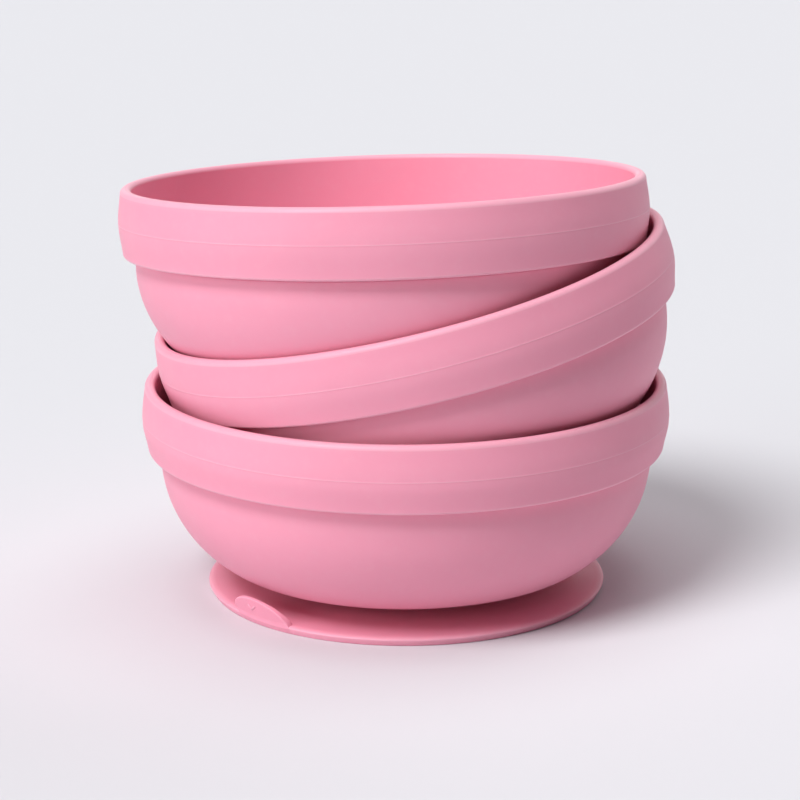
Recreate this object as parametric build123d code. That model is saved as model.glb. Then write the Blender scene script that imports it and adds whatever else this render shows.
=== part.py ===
from build123d import *
import os
from math import ceil, cos, degrees, floor, hypot, radians, sin, sqrt

# A stack of three identical silicone suction bowls. Millimetres, +Z up.
# The origin is the centre of the bottom bowl's suction face, on the table.
# Each bowl is a moulded shell, a suction base bonded under it, and a finger
# tab on the base's edge that bends outwards to break the seal.

# --- bowl shell, in the bowl's own frame: its axis is +Z, its seat is z = 0
BOWL_HEIGHT = 51.4            # seat to the top of the rim
BAND_RADIUS = 62.5            # widest line of the rim band
BAND_HEIGHT = 15.9            # underside of the band to the top of the rim
BAND_WIDEST_DROP = 8.1        # the widest line, below the top of the rim
BAND_DRAFT_UP = 0.7           # the band narrows by this much up to the rim
BAND_DRAFT_DOWN = 0.75        # and by this much down to its lower edge
BAND_OVERHANG = 2.9           # the band's lower edge stands this far out of the wall
BAND_EDGE_ROUND = 0.5
RIM_THICKNESS = 2.6
RIM_OUTER_ROUND = 1.3
RIM_INNER_ROUND = 1.1
WALL = 2.3                    # thickness of the round body and of the floor
INNER_DRAFT = 0.2             # the band's inside narrows by this much downwards
INNER_STEP_TOP = 3.2          # where the inside starts to step in, above the band's underside
INNER_STEP_BOTTOM = 1.2       # where it meets the body's inside, below the band's underside
FLOOR_CLEARANCE = 5.05        # underside of the bowl, above the seat
# The body's outline from the band down to the flat of its underside:
# (share of the depth, share of the wall's radius)
BODY_OUTLINE = ((0.197, 0.9975), (0.419, 0.967), (0.640, 0.904), (0.819, 0.816), (0.939, 0.710))
UNDERSIDE_FLAT_SHARE = 0.425  # radius of the underside's flat, as a share of the wall's radius

# --- suction base
EDGE_INSET = 14.3             # widest line of the base, inside the widest line of the band
SEAT_INSET = 0.7              # outer edge of the sealing face, inside the widest line
SEAT_WIDTH = 3.5              # width of the flat sealing face
EDGE_HEIGHT = 1.6             # the widest line, above the seat
BEVEL_WIDTH = 0.6             # bevel over the edge
BEVEL_HEIGHT = 0.4
NECK_RADIUS = 20.0
NECK_FOOT_HEIGHT = 2.9        # where the neck stands up from the disc, above the seat
CUP_DEPTH = 1.3               # hollow under the middle of the base
SPIGOT_RADIUS = 17.0          # the neck's head, bonded into a recess in the bowl's underside
SPIGOT_HEIGHT = 1.0
BOND_CLEARANCE = 0.05         # radial room for the bond

# --- finger tab
TAB_LENGTH = 19.0             # along the base's edge
TAB_HEIGHT = 5.5
TAB_THICKNESS = 1.5
TAB_GAP = 0.15                # between the tab and the disc it bends on

# --- the stack, from the bottom up. Each bowl is nested in the one below it, and its place
# is given in that bowl's own frame: how far it is shifted along X and Y and how far it
# tips about X and then about Y (degrees). Its height follows from NEST_CLEARANCE. The lip
# of a nested disc is turned up by lip_up, a share of the bowl's depth. The finger tab
# faces tab_faces (degrees about its own bowl's axis) and leans out from upright by tab_lean.
NEST_CLEARANCE = 0.28         # between a bowl and the one it is let down into
FIT_POINTS = 1500             # points round the section that the let-down is found from
FIT_STEP = 0.05               # and the steps of radius that they are compared in
FIT_TURN = 3                  # degrees between the sections compared
STACK = {
    "bottom": {
        "shift": None,
        "tip": (0, 0),
        "lip_up": 0,
        "tab_faces": 222.5,
        "tab_lean": 15,
    },
    "middle": {
        "shift": (11.7, 1.2),
        "tip": (0.87, -13.1),
        "lip_up": 0.1314,
        "tab_faces": 180,
        "tab_lean": 45,
    },
    "top": {
        "shift": (-10.11, -4.42),
        "tip": (-4.95, 11.61),
        "lip_up": 0.1314,
        "tab_faces": 20,
        "tab_lean": 45,
    },
}

band_bottom = BOWL_HEIGHT - BAND_HEIGHT
rim_outer = BAND_RADIUS - BAND_DRAFT_UP
rim_inner = rim_outer - RIM_THICKNESS
band_edge = BAND_RADIUS - BAND_DRAFT_DOWN
wall_radius = band_edge - BAND_OVERHANG
body_depth = band_bottom - FLOOR_CLEARANCE
underside_flat_radius = wall_radius * UNDERSIDE_FLAT_SHARE
edge_radius = BAND_RADIUS - EDGE_INSET
seat_outer_radius = edge_radius - SEAT_INSET
disc_top = EDGE_HEIGHT + BEVEL_HEIGHT


def rounded(face, corner, radius):
    """The face with its corner nearest to the given point rounded."""
    nearest = face.vertices().sort_by_distance(corner)[0]
    return fillet(nearest, radius)


def turned(outline):
    """The solid of revolution of an outline drawn as (radius, height)."""
    return revolve(Plane.XZ * outline, Axis.Z)


def bowl_section():
    """Half the section of a round-bottomed bowl of even wall, with a wide rim band."""
    body_points = [(wall_radius, band_bottom)]
    for depth_share, radius_share in BODY_OUTLINE:
        body_points.append((wall_radius * radius_share, band_bottom - body_depth * depth_share))
    body_points.append((underside_flat_radius, FLOOR_CLEARANCE))
    body = Spline(body_points, tangents=((0, -1), (-1, 0)))

    # the inside is the same curve, one wall further in
    inner_points = []
    for point in body_points[1:-1]:
        along = body.tangent_at(body.param_at_point(point))
        inner_points.append((point[0] + along.Y * WALL, point[1] - along.X * WALL))
    step_bottom = (wall_radius - WALL, band_bottom - INNER_STEP_BOTTOM)
    step_top = (rim_inner - INNER_DRAFT, band_bottom + INNER_STEP_TOP)
    floor_edge = (underside_flat_radius, FLOOR_CLEARANCE + WALL)
    inside = Spline([step_bottom, *inner_points, floor_edge], tangents=((0, -1), (-1, 0)))

    outline = make_face(
        [
            body,
            Line(body_points[-1], (0, FLOOR_CLEARANCE)),
            Line((0, FLOOR_CLEARANCE), (0, floor_edge[1])),
            Line((0, floor_edge[1]), floor_edge),
            inside,
            Spline([step_bottom, step_top], tangents=((0, 1), (0, 1))),
            Polyline(
                step_top,
                (rim_inner, BOWL_HEIGHT),
                (rim_outer, BOWL_HEIGHT),
                (BAND_RADIUS, BOWL_HEIGHT - BAND_WIDEST_DROP),
                (band_edge, band_bottom),
                body_points[0],
            ),
        ]
    )
    outline = rounded(outline, (rim_inner, BOWL_HEIGHT), RIM_INNER_ROUND)
    outline = rounded(outline, (rim_outer, BOWL_HEIGHT), RIM_OUTER_ROUND)
    return rounded(outline, (band_edge, band_bottom), BAND_EDGE_ROUND)


def bowl_shell():
    """The whole bowl, with a recess underneath for the base."""
    recess_floor = FLOOR_CLEARANCE + SPIGOT_HEIGHT
    recess = Pos(0, 0, recess_floor / 2) * Cylinder(SPIGOT_RADIUS + BOND_CLEARANCE, recess_floor)
    return turned(bowl_section()) - recess


def suction_base(lip_rise):
    """Thin flexible disc, hollow underneath, on a neck with a spigot. Its lip may be turned up."""
    seat_inner = seat_outer_radius - SEAT_WIDTH
    upper_edge = (edge_radius - BEVEL_WIDTH, disc_top + lip_rise)
    neck_foot = (NECK_RADIUS, NECK_FOOT_HEIGHT)
    upper_middle = (
        (upper_edge[0] + neck_foot[0]) / 2,
        neck_foot[1] + (upper_edge[1] - neck_foot[1]) / 4,
    )
    under_middle = (seat_inner / 2, CUP_DEPTH + (lip_rise - CUP_DEPTH) / 4)
    outline = make_face(
        [
            Spline([(0, CUP_DEPTH), under_middle, (seat_inner, lip_rise)]),
            Polyline(
                (seat_inner, lip_rise),
                (seat_outer_radius, lip_rise),
                (edge_radius, EDGE_HEIGHT + lip_rise),
                upper_edge,
            ),
            Spline([upper_edge, upper_middle, neck_foot]),
            Polyline(
                neck_foot,
                (NECK_RADIUS, FLOOR_CLEARANCE),
                (SPIGOT_RADIUS, FLOOR_CLEARANCE),
                (SPIGOT_RADIUS, FLOOR_CLEARANCE + SPIGOT_HEIGHT),
                (0, FLOOR_CLEARANCE + SPIGOT_HEIGHT),
                (0, CUP_DEPTH),
            ),
        ]
    )
    return turned(outline)


def tab_root_height(lip_rise):
    """Height of the line that the tab bends about."""
    return disc_top + lip_rise + TAB_GAP


def pull_tab(lip_rise, lean):
    """Half-moon tab facing +X: a strip like the disc's edge, cut to a round top, bent outwards by lean."""
    root = tab_root_height(lip_rise)
    section = make_face(
        Polyline(
            (edge_radius - TAB_THICKNESS, root),
            (edge_radius, root),
            (edge_radius, root + TAB_HEIGHT),
            (edge_radius - TAB_THICKNESS, root + TAB_HEIGHT),
            close=True,
        )
    )
    half_turn = degrees(TAB_LENGTH / edge_radius)
    start = Rot(0, 0, -half_turn) * (Plane.XZ * section)
    strip = revolve(start, Axis.Z, 2 * half_turn)
    moon_radius = ((TAB_LENGTH / 2) ** 2 + TAB_HEIGHT**2) / (2 * TAB_HEIGHT)
    moon_height = root + TAB_HEIGHT - moon_radius
    moon = Pos(edge_radius, 0, moon_height) * Rot(0, 90, 0) * Cylinder(moon_radius, 4 * TAB_HEIGHT)
    return (strip & moon).rotate(Axis((edge_radius, 0, root), (0, 1, 0)), lean)


def section_points():
    """Points all round a bowl's section, as (radius, height)."""
    edge = bowl_section().face().outer_wire()
    points = [edge.position_at(i / FIT_POINTS) for i in range(FIT_POINTS + 1)]
    return [(point.X, point.Y) for point in points]


def lowest_heights():
    """How low anything may come inside a bowl, at each step of radius, to stay clear of it."""
    tops = {}
    points = section_points()
    for ends in zip(points, points[1:]):
        (near, near_height), (far, far_height) = sorted(ends)
        for step in range(floor(near / FIT_STEP), ceil(far / FIT_STEP) + 1):
            share = (step * FIT_STEP - near) / max(far - near, FIT_STEP)
            height = near_height + min(max(share, 0), 1) * (far_height - near_height)
            tops[step] = max(tops.get(step, 0), height)
    heights = {}
    reach = ceil(NEST_CLEARANCE / FIT_STEP)
    for step, top in tops.items():
        for aside in range(-reach, reach + 1):
            above = sqrt(max(0, NEST_CLEARANCE**2 - (aside * FIT_STEP) ** 2))
            heights[step + aside] = max(heights.get(step + aside, 0), top + above)
    return heights


def let_down(bowl):
    """Height of a bowl's seat over the seat of the bowl below, once let down to NEST_CLEARANCE."""
    heights = lowest_heights()
    lip_rise = body_depth * bowl["lip_up"]
    root = tab_root_height(lip_rise)
    lean = radians(bowl["tab_lean"])
    tab_tip = (edge_radius + TAB_HEIGHT * sin(lean), root + TAB_HEIGHT * cos(lean))
    lip = (edge_radius, lip_rise + EDGE_HEIGHT)
    seat = (seat_outer_radius, lip_rise)
    tip_x, tip_y = (radians(tip) for tip in bowl["tip"])
    shift_x, shift_y = bowl["shift"]
    spots = []
    for radius, height in [*section_points(), lip, seat]:
        spots += [(radius, height, radians(turn)) for turn in range(0, 360, FIT_TURN)]
    spots.append((*tab_tip, radians(bowl["tab_faces"])))
    needed = []
    for radius, height, turn in spots:
        x = radius * cos(turn)
        y = radius * sin(turn) * cos(tip_x) - height * sin(tip_x)
        z = radius * sin(turn) * sin(tip_x) + height * cos(tip_x)
        out = hypot(x * cos(tip_y) + z * sin(tip_y) + shift_x, y + shift_y)
        up = z * cos(tip_y) - x * sin(tip_y)
        needed.append(heights.get(round(out / FIT_STEP), 0) - up)
    return max(needed)


def placed(bowl):
    """Where a bowl stands in the one below it, as a location of its own frame."""
    if bowl["shift"] is None:
        return Pos(0, 0, 0)
    tipped = Rot(0, bowl["tip"][1], 0) * Rot(bowl["tip"][0], 0, 0)
    return Pos(*bowl["shift"], let_down(bowl)) * tipped


os.makedirs("parts", exist_ok=True)
place = Pos(0, 0, 0)
for name, bowl in STACK.items():
    place = place * placed(bowl)
    facing = Rot(0, 0, bowl["tab_faces"])
    lip_rise = body_depth * bowl["lip_up"]
    export_step(place * bowl_shell(), f"parts/{name}_bowl_shell.step")
    export_step(place * suction_base(lip_rise), f"parts/{name}_suction_base.step")
    export_step(place * facing * pull_tab(lip_rise, bowl["tab_lean"]), f"parts/{name}_pull_tab.step")
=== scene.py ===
import math

import bmesh
import bpy
from mathutils import Matrix, Vector
from mathutils.geometry import interpolate_bezier


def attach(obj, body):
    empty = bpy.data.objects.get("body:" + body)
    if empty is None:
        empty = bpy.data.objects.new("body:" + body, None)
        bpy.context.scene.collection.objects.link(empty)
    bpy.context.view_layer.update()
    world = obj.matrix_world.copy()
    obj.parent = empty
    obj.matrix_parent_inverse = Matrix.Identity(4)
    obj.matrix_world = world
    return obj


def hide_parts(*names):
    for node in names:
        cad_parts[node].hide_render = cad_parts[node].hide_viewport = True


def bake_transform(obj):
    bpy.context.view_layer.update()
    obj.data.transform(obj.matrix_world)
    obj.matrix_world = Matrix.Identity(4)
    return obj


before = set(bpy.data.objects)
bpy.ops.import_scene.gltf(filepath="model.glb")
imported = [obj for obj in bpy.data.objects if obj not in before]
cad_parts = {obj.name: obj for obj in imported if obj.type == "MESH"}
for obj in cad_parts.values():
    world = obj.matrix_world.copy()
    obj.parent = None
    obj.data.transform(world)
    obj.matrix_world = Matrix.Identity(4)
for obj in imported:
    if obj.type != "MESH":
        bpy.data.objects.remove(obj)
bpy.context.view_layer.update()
scene = bpy.context.scene

# The three bowls are one moulding made three times, in soft pink silicone. The bottom bowl
# stands level on its suction disc, the middle one has tipped over in its mouth with its left
# side low, and the top one lies nearly level in the middle one. Sizes are in millimetres.
MM = 0.001
BOWLS = ("bottom", "middle", "top")
# where each bowl stands in the frame of the one below it, and its turns about X and Y, in degrees
SHIFT = {"bottom": (0, 0, 0), "middle": (11.7, 1.2, 26.25), "top": (-10.11, -4.42, 25.102)}
TIP = {"bottom": (0, 0), "middle": (0.87, -13.1), "top": (-4.95, 11.61)}
# how far its lip is turned up, the bearing its tab faces, and how far the tab leans out
LIP_RISE = {"bottom": 0, "middle": 4, "top": 4}
TAB_FACES = {"bottom": 224.4, "middle": 180, "top": 20}
TAB_LEAN = {"bottom": 15, "middle": 45, "top": 45}


def place(bowl):
    """The bowl's own frame, in metres: each bowl stands in the one below it and tips in it."""
    stand = Matrix()
    for lower in BOWLS[: BOWLS.index(bowl) + 1]:
        tip_x, tip_y = (math.radians(turn) for turn in TIP[lower])
        stand = stand @ Matrix.Translation(Vector(SHIFT[lower]) * MM)
        stand = stand @ Matrix.Rotation(tip_y, 4, "Y") @ Matrix.Rotation(tip_x, 4, "X")
    return stand


# Bowl shells. Each is a round-bottomed bowl of even wall, compression moulded in one piece
# with a wide rim band that stands out of the wall. The two mould halves meet on the band's
# widest line and leave a fine flash line there. A shallow recess underneath takes the base.
BOWL_HEIGHT = 51.4
BAND_RADIUS = 62.5
BAND_UNDERSIDE = 35.5
BAND_WIDEST = 43.3
BAND_EDGE = 61.75
RIM_OUTER = 61.8
RIM_INNER = 59.2
RIM_ROUND_OUTER = 1.3
RIM_ROUND_INNER = 1.1
WALL_RADIUS = 58.85
WALL = 2.3
UNDERSIDE = 5.05
UNDERSIDE_FLAT = 25.0
RECESS = (17.05, 6.05)        # radius, and the height of its floor
EDGE_ROUND = 0.7
EDGE_DRAFT = 0.09             # slope of the band's side at its lower edge and under its rim
WALL_FILLET = 0.4             # where the wall meets the band's underside
MOUTH_STEP = (-1.2, 3.2)      # the mouth widens from this height to this one, past the underside
MOUTH_STEP_TOP = 0.2          # how much narrower it still is at the top of that step
FLASH = (0.14, 0.04)          # half width and height of the flash line
# how far a mouth is pushed wider, and the bearing it is mostly pushed towards: none is all round
STRETCH = {"bottom": (0.7, None), "middle": (0.65, 0), "top": (0, None)}
STRETCH_FROM = 27             # the height above which the wall gives way
STRETCH_OVER = 14
TURNS = 288                   # steps round the axis
EDGE_BEND = 0.7               # an outline that bends this hard, per millimetre, counts as an edge
PINK = (0.87, 0.335, 0.455)
# the paler pink of the painted highlight along the edges
EDGE_HIGHLIGHT_PINK = (0.90, 0.50, 0.60)
DUST = (0.85, 0.68, 0.72)


def arc(centre, radius, start, end, steps=8):
    """Points of an arc, as (radius from the axis, height); angles in degrees from outwards."""
    angles = [math.radians(start + (end - start) * i / steps) for i in range(steps + 1)]
    return [(centre[0] + radius * math.cos(a), centre[1] + radius * math.sin(a)) for a in angles]


def flowing(points, first, last, steps=8):
    """A smooth line through points that leaves along first and arrives along last."""
    ends = [Vector(p) for p in points]
    ways = [Vector(first).normalized()]
    ways += [(b - a).normalized() for a, b in zip(ends, ends[2:])]
    ways.append(Vector(last).normalized())
    line = [tuple(ends[0])]
    for a, b, leave, arrive in zip(ends, ends[1:], ways, ways[1:]):
        reach = (b - a).length / 3
        span = interpolate_bezier(a, a + leave * reach, b - arrive * reach, b, steps + 1)
        line += [tuple(p[:2]) for p in span[1:]]
    return line


def turned(name, outline):
    """A body of revolution: the outline, drawn as (radius, height), spun round the Z axis."""
    bm = bmesh.new()
    edge = bm.verts.layers.float.new("edge")
    line = [bm.verts.new((r * MM, 0, z * MM)) for r, z in outline]
    for before, vert, after in zip(line, line[1:], line[2:]):
        along, onward = vert.co - before.co, after.co - vert.co
        step = (along.length + onward.length) / 2
        bend = -along.cross(onward).y / (along.length * onward.length * step)
        vert[edge] = min(1, max(0, bend * MM / EDGE_BEND))
    edges = [bm.edges.new(pair) for pair in zip(line, line[1:])]
    bmesh.ops.spin(
        bm, geom=line + edges, cent=(0, 0, 0), axis=(0, 0, 1), angle=math.tau, steps=TURNS, use_merge=True
    )
    bmesh.ops.remove_doubles(bm, verts=bm.verts, dist=0.001 * MM)
    bmesh.ops.recalc_face_normals(bm, faces=bm.faces)
    return made(name, bm)


def made(name, bm):
    """The mesh as a smooth-shaded object at the origin."""
    mesh = bpy.data.meshes.new(name)
    bm.to_mesh(mesh)
    bm.free()
    mesh.shade_smooth()
    piece = bpy.data.objects.new(name, mesh)
    scene.collection.objects.link(piece)
    return piece


def silicone(name, bowl):
    """Soft matte pink silicone, patterned in the bowl's own frame so that its marks stay on it."""
    material = bpy.data.materials.new(name)
    material.use_nodes = True
    nodes, links = material.node_tree.nodes, material.node_tree.links
    shader = nodes["Principled BSDF"]
    shader.inputs["IOR"].default_value = 1.41
    shader.inputs["Specular IOR Level"].default_value = 0.35
    shader.inputs["Subsurface Weight"].default_value = 0.1
    shader.inputs["Subsurface Radius"].default_value = (1.0, 0.45, 0.5)
    shader.inputs["Subsurface Scale"].default_value = 1.6 * MM
    coordinates = nodes.new("ShaderNodeTexCoord")
    own = nodes.new("ShaderNodeMapping")
    own.vector_type = "TEXTURE"
    stand = place(bowl)
    own.inputs["Location"].default_value = stand.translation
    own.inputs["Rotation"].default_value = stand.to_euler()
    links.new(coordinates.outputs["Object"], own.inputs["Vector"])

    def noise(scale, detail=3.0, rough=0.5):
        node = nodes.new("ShaderNodeTexNoise")
        node.inputs["Scale"].default_value = scale
        node.inputs["Detail"].default_value = detail
        node.inputs["Roughness"].default_value = rough
        links.new(own.outputs["Vector"], node.inputs["Vector"])
        return node.outputs["Fac"]

    def spread(source, low, high, start=0.3, stop=0.7):
        node = nodes.new("ShaderNodeMapRange")
        node.inputs["From Min"].default_value = start
        node.inputs["From Max"].default_value = stop
        node.inputs["To Min"].default_value = low
        node.inputs["To Max"].default_value = high
        links.new(source, node.inputs["Value"])
        return node.outputs["Result"]

    def mixed(factor, first, second):
        node = nodes.new("ShaderNodeMix")
        node.data_type = "RGBA"
        links.new(factor, node.inputs["Factor"])
        for socket, value in (("A", first), ("B", second)):
            if isinstance(value, tuple):
                node.inputs[socket].default_value = (*value, 1)
            else:
                links.new(value, node.inputs[socket])
        return node.outputs["Result"]

    # pigment that isn't quite even, and a bloom of fine dust that silicone always carries
    darker, paler = (tuple(c * share for c in PINK) for share in (0.975, 1.025))
    pigment = mixed(spread(noise(28), 0, 1), darker, paler)
    bloom = spread(noise(420, 6, 0.65), 0, 0.05, 0.5, 0.8)
    dusted = mixed(bloom, pigment, DUST)
    # convex edges are painted paler, a painted highlight along every edge, and edges are rubbed a little
    # shinier
    edge = nodes.new("ShaderNodeAttribute")
    edge.attribute_name = "edge"
    colour = mixed(spread(edge.outputs["Fac"], 0, 0.4, 0, 1), dusted, EDGE_HIGHLIGHT_PINK)
    links.new(colour, shader.inputs["Base Color"])
    rub = nodes.new("ShaderNodeMath")
    rub.operation = "MULTIPLY_ADD"
    rub.inputs[1].default_value = -0.08
    links.new(edge.outputs["Fac"], rub.inputs[0])
    links.new(spread(noise(60, 4), 0.44, 0.54), rub.inputs[2])
    links.new(rub.outputs["Value"], shader.inputs["Roughness"])

    # the fine sparked grain of the mould, and a slow unevenness of the soft wall
    grain = nodes.new("ShaderNodeBump")
    grain.inputs["Strength"].default_value = 0.15
    grain.inputs["Distance"].default_value = 0.03 * MM
    links.new(noise(2600, 2), grain.inputs["Height"])
    sway = nodes.new("ShaderNodeBump")
    sway.inputs["Strength"].default_value = 0.25
    sway.inputs["Distance"].default_value = 0.25 * MM
    links.new(noise(45, 1), sway.inputs["Height"])
    links.new(sway.outputs["Normal"], grain.inputs["Normal"])
    links.new(grain.outputs["Normal"], shader.inputs["Normal"])
    return material


BODY_OUTLINE = [
    (WALL_RADIUS, BAND_UNDERSIDE),
    (58.70, 29.50),
    (56.91, 22.74),
    (53.20, 16.01),
    (48.02, 10.56),
    (41.78, 6.91),
    (UNDERSIDE_FLAT, UNDERSIDE),
]


def shell_outline():
    """The bowl's section from the middle of its recess out, up over the rim and in to its floor."""
    outside = flowing(BODY_OUTLINE, (0, -1), (-1, 0))
    inner_points = []
    for before, point, after in zip(BODY_OUTLINE, BODY_OUTLINE[1:], BODY_OUTLINE[2:]):
        along = (Vector(after) - Vector(before)).normalized()
        inner_points.append((point[0] + along.y * WALL, point[1] - along.x * WALL))
    floor_edge = (UNDERSIDE_FLAT, UNDERSIDE + WALL)
    step_bottom = (WALL_RADIUS - WALL, BAND_UNDERSIDE + MOUTH_STEP[0])
    step_top = (RIM_INNER - MOUTH_STEP_TOP, BAND_UNDERSIDE + MOUTH_STEP[1])
    inside = flowing([step_bottom, *inner_points, floor_edge], (0, -1), (-1, 0))
    half, proud = FLASH
    corner = (BAND_EDGE - EDGE_ROUND, BAND_UNDERSIDE + EDGE_ROUND)
    side_foot = (corner[0] + EDGE_ROUND, corner[1])
    below = flowing([side_foot, (BAND_RADIUS, BAND_WIDEST - half * 3)], (EDGE_DRAFT, 1), (0, 1))
    rim = arc((RIM_OUTER - RIM_ROUND_OUTER, BOWL_HEIGHT - RIM_ROUND_OUTER), RIM_ROUND_OUTER, 5, 90, 12)
    above = flowing([(BAND_RADIUS, BAND_WIDEST + half * 3), rim[0]], (0, 1), (-EDGE_DRAFT, 1))
    return [
        (0, RECESS[1]),
        (RECESS[0], RECESS[1]),
        (RECESS[0], UNDERSIDE),
        *reversed(outside),
        *arc((WALL_RADIUS + WALL_FILLET, BAND_UNDERSIDE - WALL_FILLET), WALL_FILLET, 180, 90, 4),
        *arc(corner, EDGE_ROUND, -90, 0, 6),
        *below[1:],
        (BAND_RADIUS, BAND_WIDEST - half),
        (BAND_RADIUS + proud, BAND_WIDEST - half * 0.4),
        (BAND_RADIUS + proud, BAND_WIDEST + half * 0.4),
        (BAND_RADIUS, BAND_WIDEST + half),
        *above,
        *rim[1:],
        *arc((RIM_INNER + RIM_ROUND_INNER, BOWL_HEIGHT - RIM_ROUND_INNER), RIM_ROUND_INNER, 90, 180, 12),
        *flowing([step_top, step_bottom], (0, -1), (0, -1)),
        *inside[1:],
        (0, UNDERSIDE + WALL),
    ]


def stretched(piece, by, towards):
    """A mouth pushed wider by the bowl nested in it, all round or mostly towards a bearing."""
    for v in piece.data.vertices:
        out, height = math.hypot(v.co.x, v.co.y), v.co.z / MM
        share = min(1, max(0, (height - STRETCH_FROM) / STRETCH_OVER)) ** 2
        if share > 0:
            side = 1 if towards is None else (1 + math.cos(math.atan2(v.co.y, v.co.x) - towards)) / 2
            v.co.xy *= 1 + by * MM * share * side / out


for bowl in BOWLS:
    shell = turned(f"{bowl}_shell", shell_outline())
    stretched(shell, *STRETCH[bowl])
    shell.data.transform(place(bowl))
    shell.data.materials.append(silicone(f"{bowl}_silicone", bowl))
    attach(shell, f"{bowl}_bowl")
    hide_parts(f"{bowl}_bowl_shell")


# Suction bases. A thin silicone disc, hollow underneath, stands on a flat sealing lip; its
# neck is bonded into the recess under the bowl. The lip of a bowl that is nested in another
# is turned up a little all round by the wall it sits in.
SEAT_OUTER = 47.5
SEAT_INNER = 44.0
DISC_EDGE = 48.2
DISC_EDGE_HEIGHT = 1.6
DISC_BEVEL = (0.6, 0.4)
LIP_ROUND = 0.25              # under the lip's edge
DISC_ROUND = 0.35             # on the disc's edge
NECK_RADIUS = 20.0
NECK_FOOT = 2.9
NECK_FILLET = 1.2
CUP_DEPTH = 1.3
SPIGOT_RADIUS = 17.0


def base_outline(rise):
    """The base's section from the middle of its hollow out to the lip and back up to its spigot."""
    upper_edge = (DISC_EDGE - DISC_BEVEL[0], DISC_EDGE_HEIGHT + DISC_BEVEL[1] + rise)
    under_middle = (SEAT_INNER / 2, CUP_DEPTH + (rise - CUP_DEPTH) / 4)
    foot = (NECK_RADIUS + NECK_FILLET, NECK_FOOT)
    upper_middle = ((upper_edge[0] + foot[0]) / 2, NECK_FOOT + (upper_edge[1] - NECK_FOOT) / 4)
    lip_slope = (rise - CUP_DEPTH) / 20
    under = flowing([(0, CUP_DEPTH), under_middle, (SEAT_INNER, rise)], (1, 0), (1, lip_slope), 12)
    over = flowing([upper_edge, upper_middle, foot], (-1, (NECK_FOOT - upper_edge[1]) / 16), (-1, 0), 12)
    return [
        *under,
        *arc((SEAT_OUTER - LIP_ROUND, rise + LIP_ROUND), LIP_ROUND, -90, -20, 4),
        *arc((DISC_EDGE - DISC_ROUND, DISC_EDGE_HEIGHT + rise - 0.1), DISC_ROUND, -10, 60, 5),
        *over,
        *arc((foot[0], NECK_FOOT + NECK_FILLET), NECK_FILLET, -90, -180, 6)[1:],
        (NECK_RADIUS, UNDERSIDE),
        (SPIGOT_RADIUS, UNDERSIDE),
        (SPIGOT_RADIUS, RECESS[1]),
        (0, RECESS[1]),
    ]


for bowl in BOWLS:
    base = turned(f"{bowl}_base", base_outline(LIP_RISE[bowl]))
    base.data.transform(place(bowl))
    base.data.materials.append(bpy.data.materials[f"{bowl}_silicone"])
    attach(base, f"{bowl}_bowl")
    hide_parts(f"{bowl}_suction_base")


# Finger tabs. Each is a half-moon flap moulded in one with the disc's edge, which it follows
# round; pulled outwards it bends at its root and lets air under the lip. A small raised
# chevron near its left end shows which way to pull.
TAB_HEIGHT = 4.65
TAB_OUTLINE = [(-7.4, -1), (-8.9, 1.4), (-5.3, 4.0), (-0.8, TAB_HEIGHT), (4.2, 3.7), (7.4, 1.8), (9.8, -1)]
TAB_THICKNESS = (1.5, 0.9)    # at the root and at the top
TAB_ROOT = 2.15               # height of the bend line above the seat, less the lip's rise
TAB_ROUND = 0.3
TAB_PROUD = 0.03              # how far the flap stands out of the disc's edge
TAB_CUTS = (((0, 0, 1), 0.35), ((0, 1, 0), 0.6))     # across what and how often it is cut, to bend
CUT_SHIFT = 0.37              # in spacings, so that no cut meets the root's corners
CHEVRON = (-1.6, 2.3)         # where the mark sits on the flap
CHEVRON_ARM = (0.36, 1.7, 0.42)
CHEVRON_SLANT = 40


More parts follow.
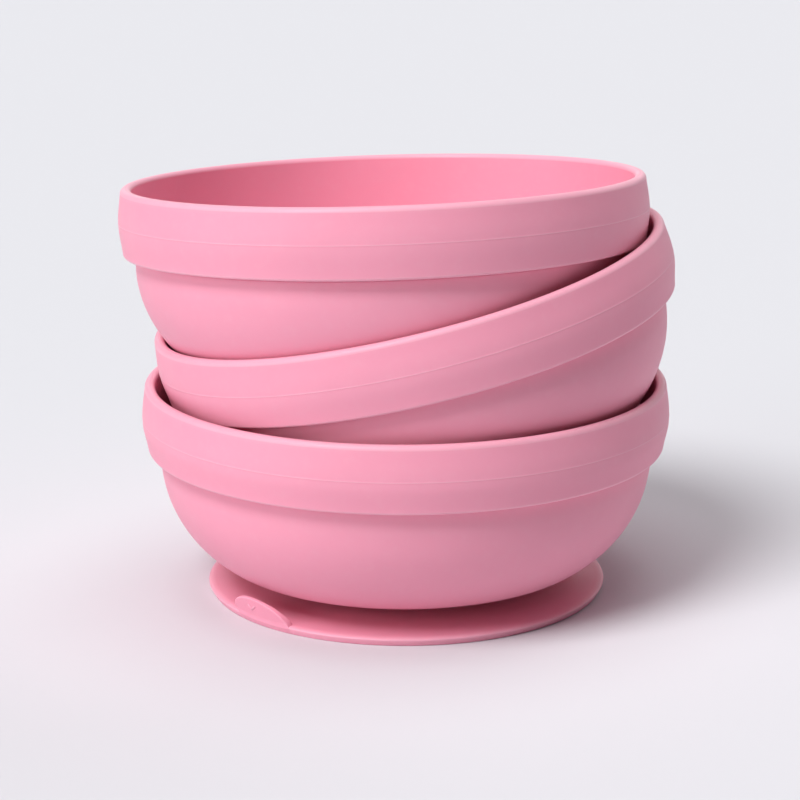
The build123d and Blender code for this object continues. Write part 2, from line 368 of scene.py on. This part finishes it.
def tab(bowl):
    """One finished flap: drawn flat as (across, up) facing +X, thickened, wrapped round and leaned."""
    bm = bmesh.new()
    rim = [bm.verts.new((0, y, z)) for y, z in flowing(TAB_OUTLINE, (-0.5, 1), (0.6, -1), 10)]
    for pair in zip(rim, rim[1:] + rim[:1]):
        bm.edges.new(pair)
    bmesh.ops.contextual_create(bm, geom=bm.edges[:])
    back = bmesh.ops.extrude_face_region(bm, geom=bm.faces[:])
    thick, thin = TAB_THICKNESS
    for v in back["geom"]:
        if isinstance(v, bmesh.types.BMVert):
            v.co.x -= thick + (thin - thick) * min(1, max(0, v.co.z / TAB_HEIGHT))
    bmesh.ops.recalc_face_normals(bm, faces=bm.faces)
    border = [e for e in bm.edges if len(e.link_faces) == 2 and e.calc_face_angle() > 1]
    round_off = {"affect": "EDGES", "profile": 0.5, "material": -1}
    bmesh.ops.bevel(bm, geom=border, offset=TAB_ROUND, segments=4, clamp_overlap=True, **round_off)
    for step in range(-16, 17):
        for normal, spacing in TAB_CUTS:
            everything = bm.verts[:] + bm.edges[:] + bm.faces[:]
            through = Vector(normal) * (step + CUT_SHIFT) * spacing
            bmesh.ops.bisect_plane(bm, geom=everything, plane_co=through, plane_no=normal)
    for slant in (-1, 1):
        turn = Matrix.Rotation(slant * math.radians(CHEVRON_SLANT), 4, "X")
        arm = Matrix.Translation((0.02, CHEVRON[0] + slant * 0.55, CHEVRON[1])) @ turn
        bar = bmesh.ops.create_cube(bm, size=1, matrix=arm @ Matrix.Diagonal((*CHEVRON_ARM, 1)))
        edges = {e for v in bar["verts"] for e in v.link_edges}
        bmesh.ops.bevel(bm, geom=list(edges), offset=0.1, segments=2, **round_off)
    lean = math.radians(TAB_LEAN[bowl])
    for v in bm.verts:
        v.co.x += math.sqrt(DISC_EDGE**2 - v.co.y**2) - DISC_EDGE
        share = min(1, max(0, (v.co.z + 0.4) / 1.2))
        v.co = Matrix.Rotation(lean * share * share * (3 - 2 * share), 3, "Y") @ v.co
        v.co += Vector((DISC_EDGE + TAB_PROUD, 0, TAB_ROOT + LIP_RISE[bowl]))
    bmesh.ops.scale(bm, verts=bm.verts, vec=(MM, MM, MM))
    # a bend of 7 degrees or less is no edge, and one of 30 is a full edge
    edge = bm.verts.layers.float.new("edge")
    for v in bm.verts:
        sharpest = max((e.calc_face_angle(0) for e in v.link_edges), default=0)
        v[edge] = min(1, max(0, 2.4 * (sharpest - 0.12)))
    piece = made(f"{bowl}_tab", bm)
    piece.data.transform(place(bowl) @ Matrix.Rotation(math.radians(TAB_FACES[bowl]), 4, "Z"))
    return piece


for bowl in BOWLS:
    flap = tab(bowl)
    flap.data.materials.append(bpy.data.materials[f"{bowl}_silicone"])
    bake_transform(flap)
    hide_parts(f"{bowl}_pull_tab")


# Floor, light and camera: a seamless pale sheet, a soft key from the left front and above, and
# one light overhead; low broad lights fill from the left and, weakly, from the right, and two
# from behind draw the edges. The camera has a long lens and stands a little above the top rim.
bm = bmesh.new()
bmesh.ops.create_grid(bm, x_segments=1, y_segments=1, size=12)
floor = made("floor", bm)
paper = bpy.data.materials.new("paper")
paper.use_nodes = True
sheet = paper.node_tree.nodes["Principled BSDF"].inputs
sheet["Base Color"].default_value = (0.69, 0.69, 0.725, 1)
sheet["Roughness"].default_value = 0.9
sheet["Specular IOR Level"].default_value = 0.0
floor.data.materials.append(paper)


def sun(name, height, bearing, strength, spread):
    """A soft distant light: its height and its bearing from +X in degrees, and how broad it is."""
    lamp = bpy.data.lights.new(name, "SUN")
    lamp.energy = strength
    lamp.angle = math.radians(spread)
    piece = bpy.data.objects.new(name, lamp)
    raised = Matrix.Rotation(-math.radians(height), 3, "Y") @ Vector((1, 0, 0))
    stands = Matrix.Rotation(math.radians(bearing), 3, "Z") @ raised
    piece.rotation_euler = stands.to_track_quat("Z", "Y").to_euler()
    scene.collection.objects.link(piece)


sun("key", 53, 229, 2.4, 24)
sun("side", 8, 210, 1.7, 50)
sun("overhead", 90, 0, 1.15, 40)
sun("back", 8, 90, 0.6, 45)
sun("corner", 25, 45, 0.6, 45)
sun("right", 5, 345, 0.22, 50)
world = bpy.data.worlds.new("studio")
world.use_nodes = True
sky = world.node_tree.nodes["Background"]
sky.inputs["Color"].default_value = (0.84, 0.83, 0.88, 1)
world.cycles_visibility.diffuse = False      # the pale surround is seen, and lights nothing
world.cycles_visibility.glossy = False
scene.world = world
scene.view_settings.view_transform = "Standard"

camera = bpy.data.objects.new("camera", bpy.data.cameras.new("camera"))
camera.location = Vector((0, -602.6, 203.5)) * MM
pitch, yaw, roll = 0.25644, 0.00227, -0.00438
tilted = Matrix.Rotation(math.pi / 2 - pitch, 4, "X") @ Matrix.Rotation(roll, 4, "Z")
camera.rotation_euler = (Matrix.Rotation(yaw, 4, "Z") @ tilted).to_euler()
camera.data.lens = 116.36
camera.data.sensor_width = 36
camera.data.clip_start = 0.01
scene.collection.objects.link(camera)
scene.camera = camera
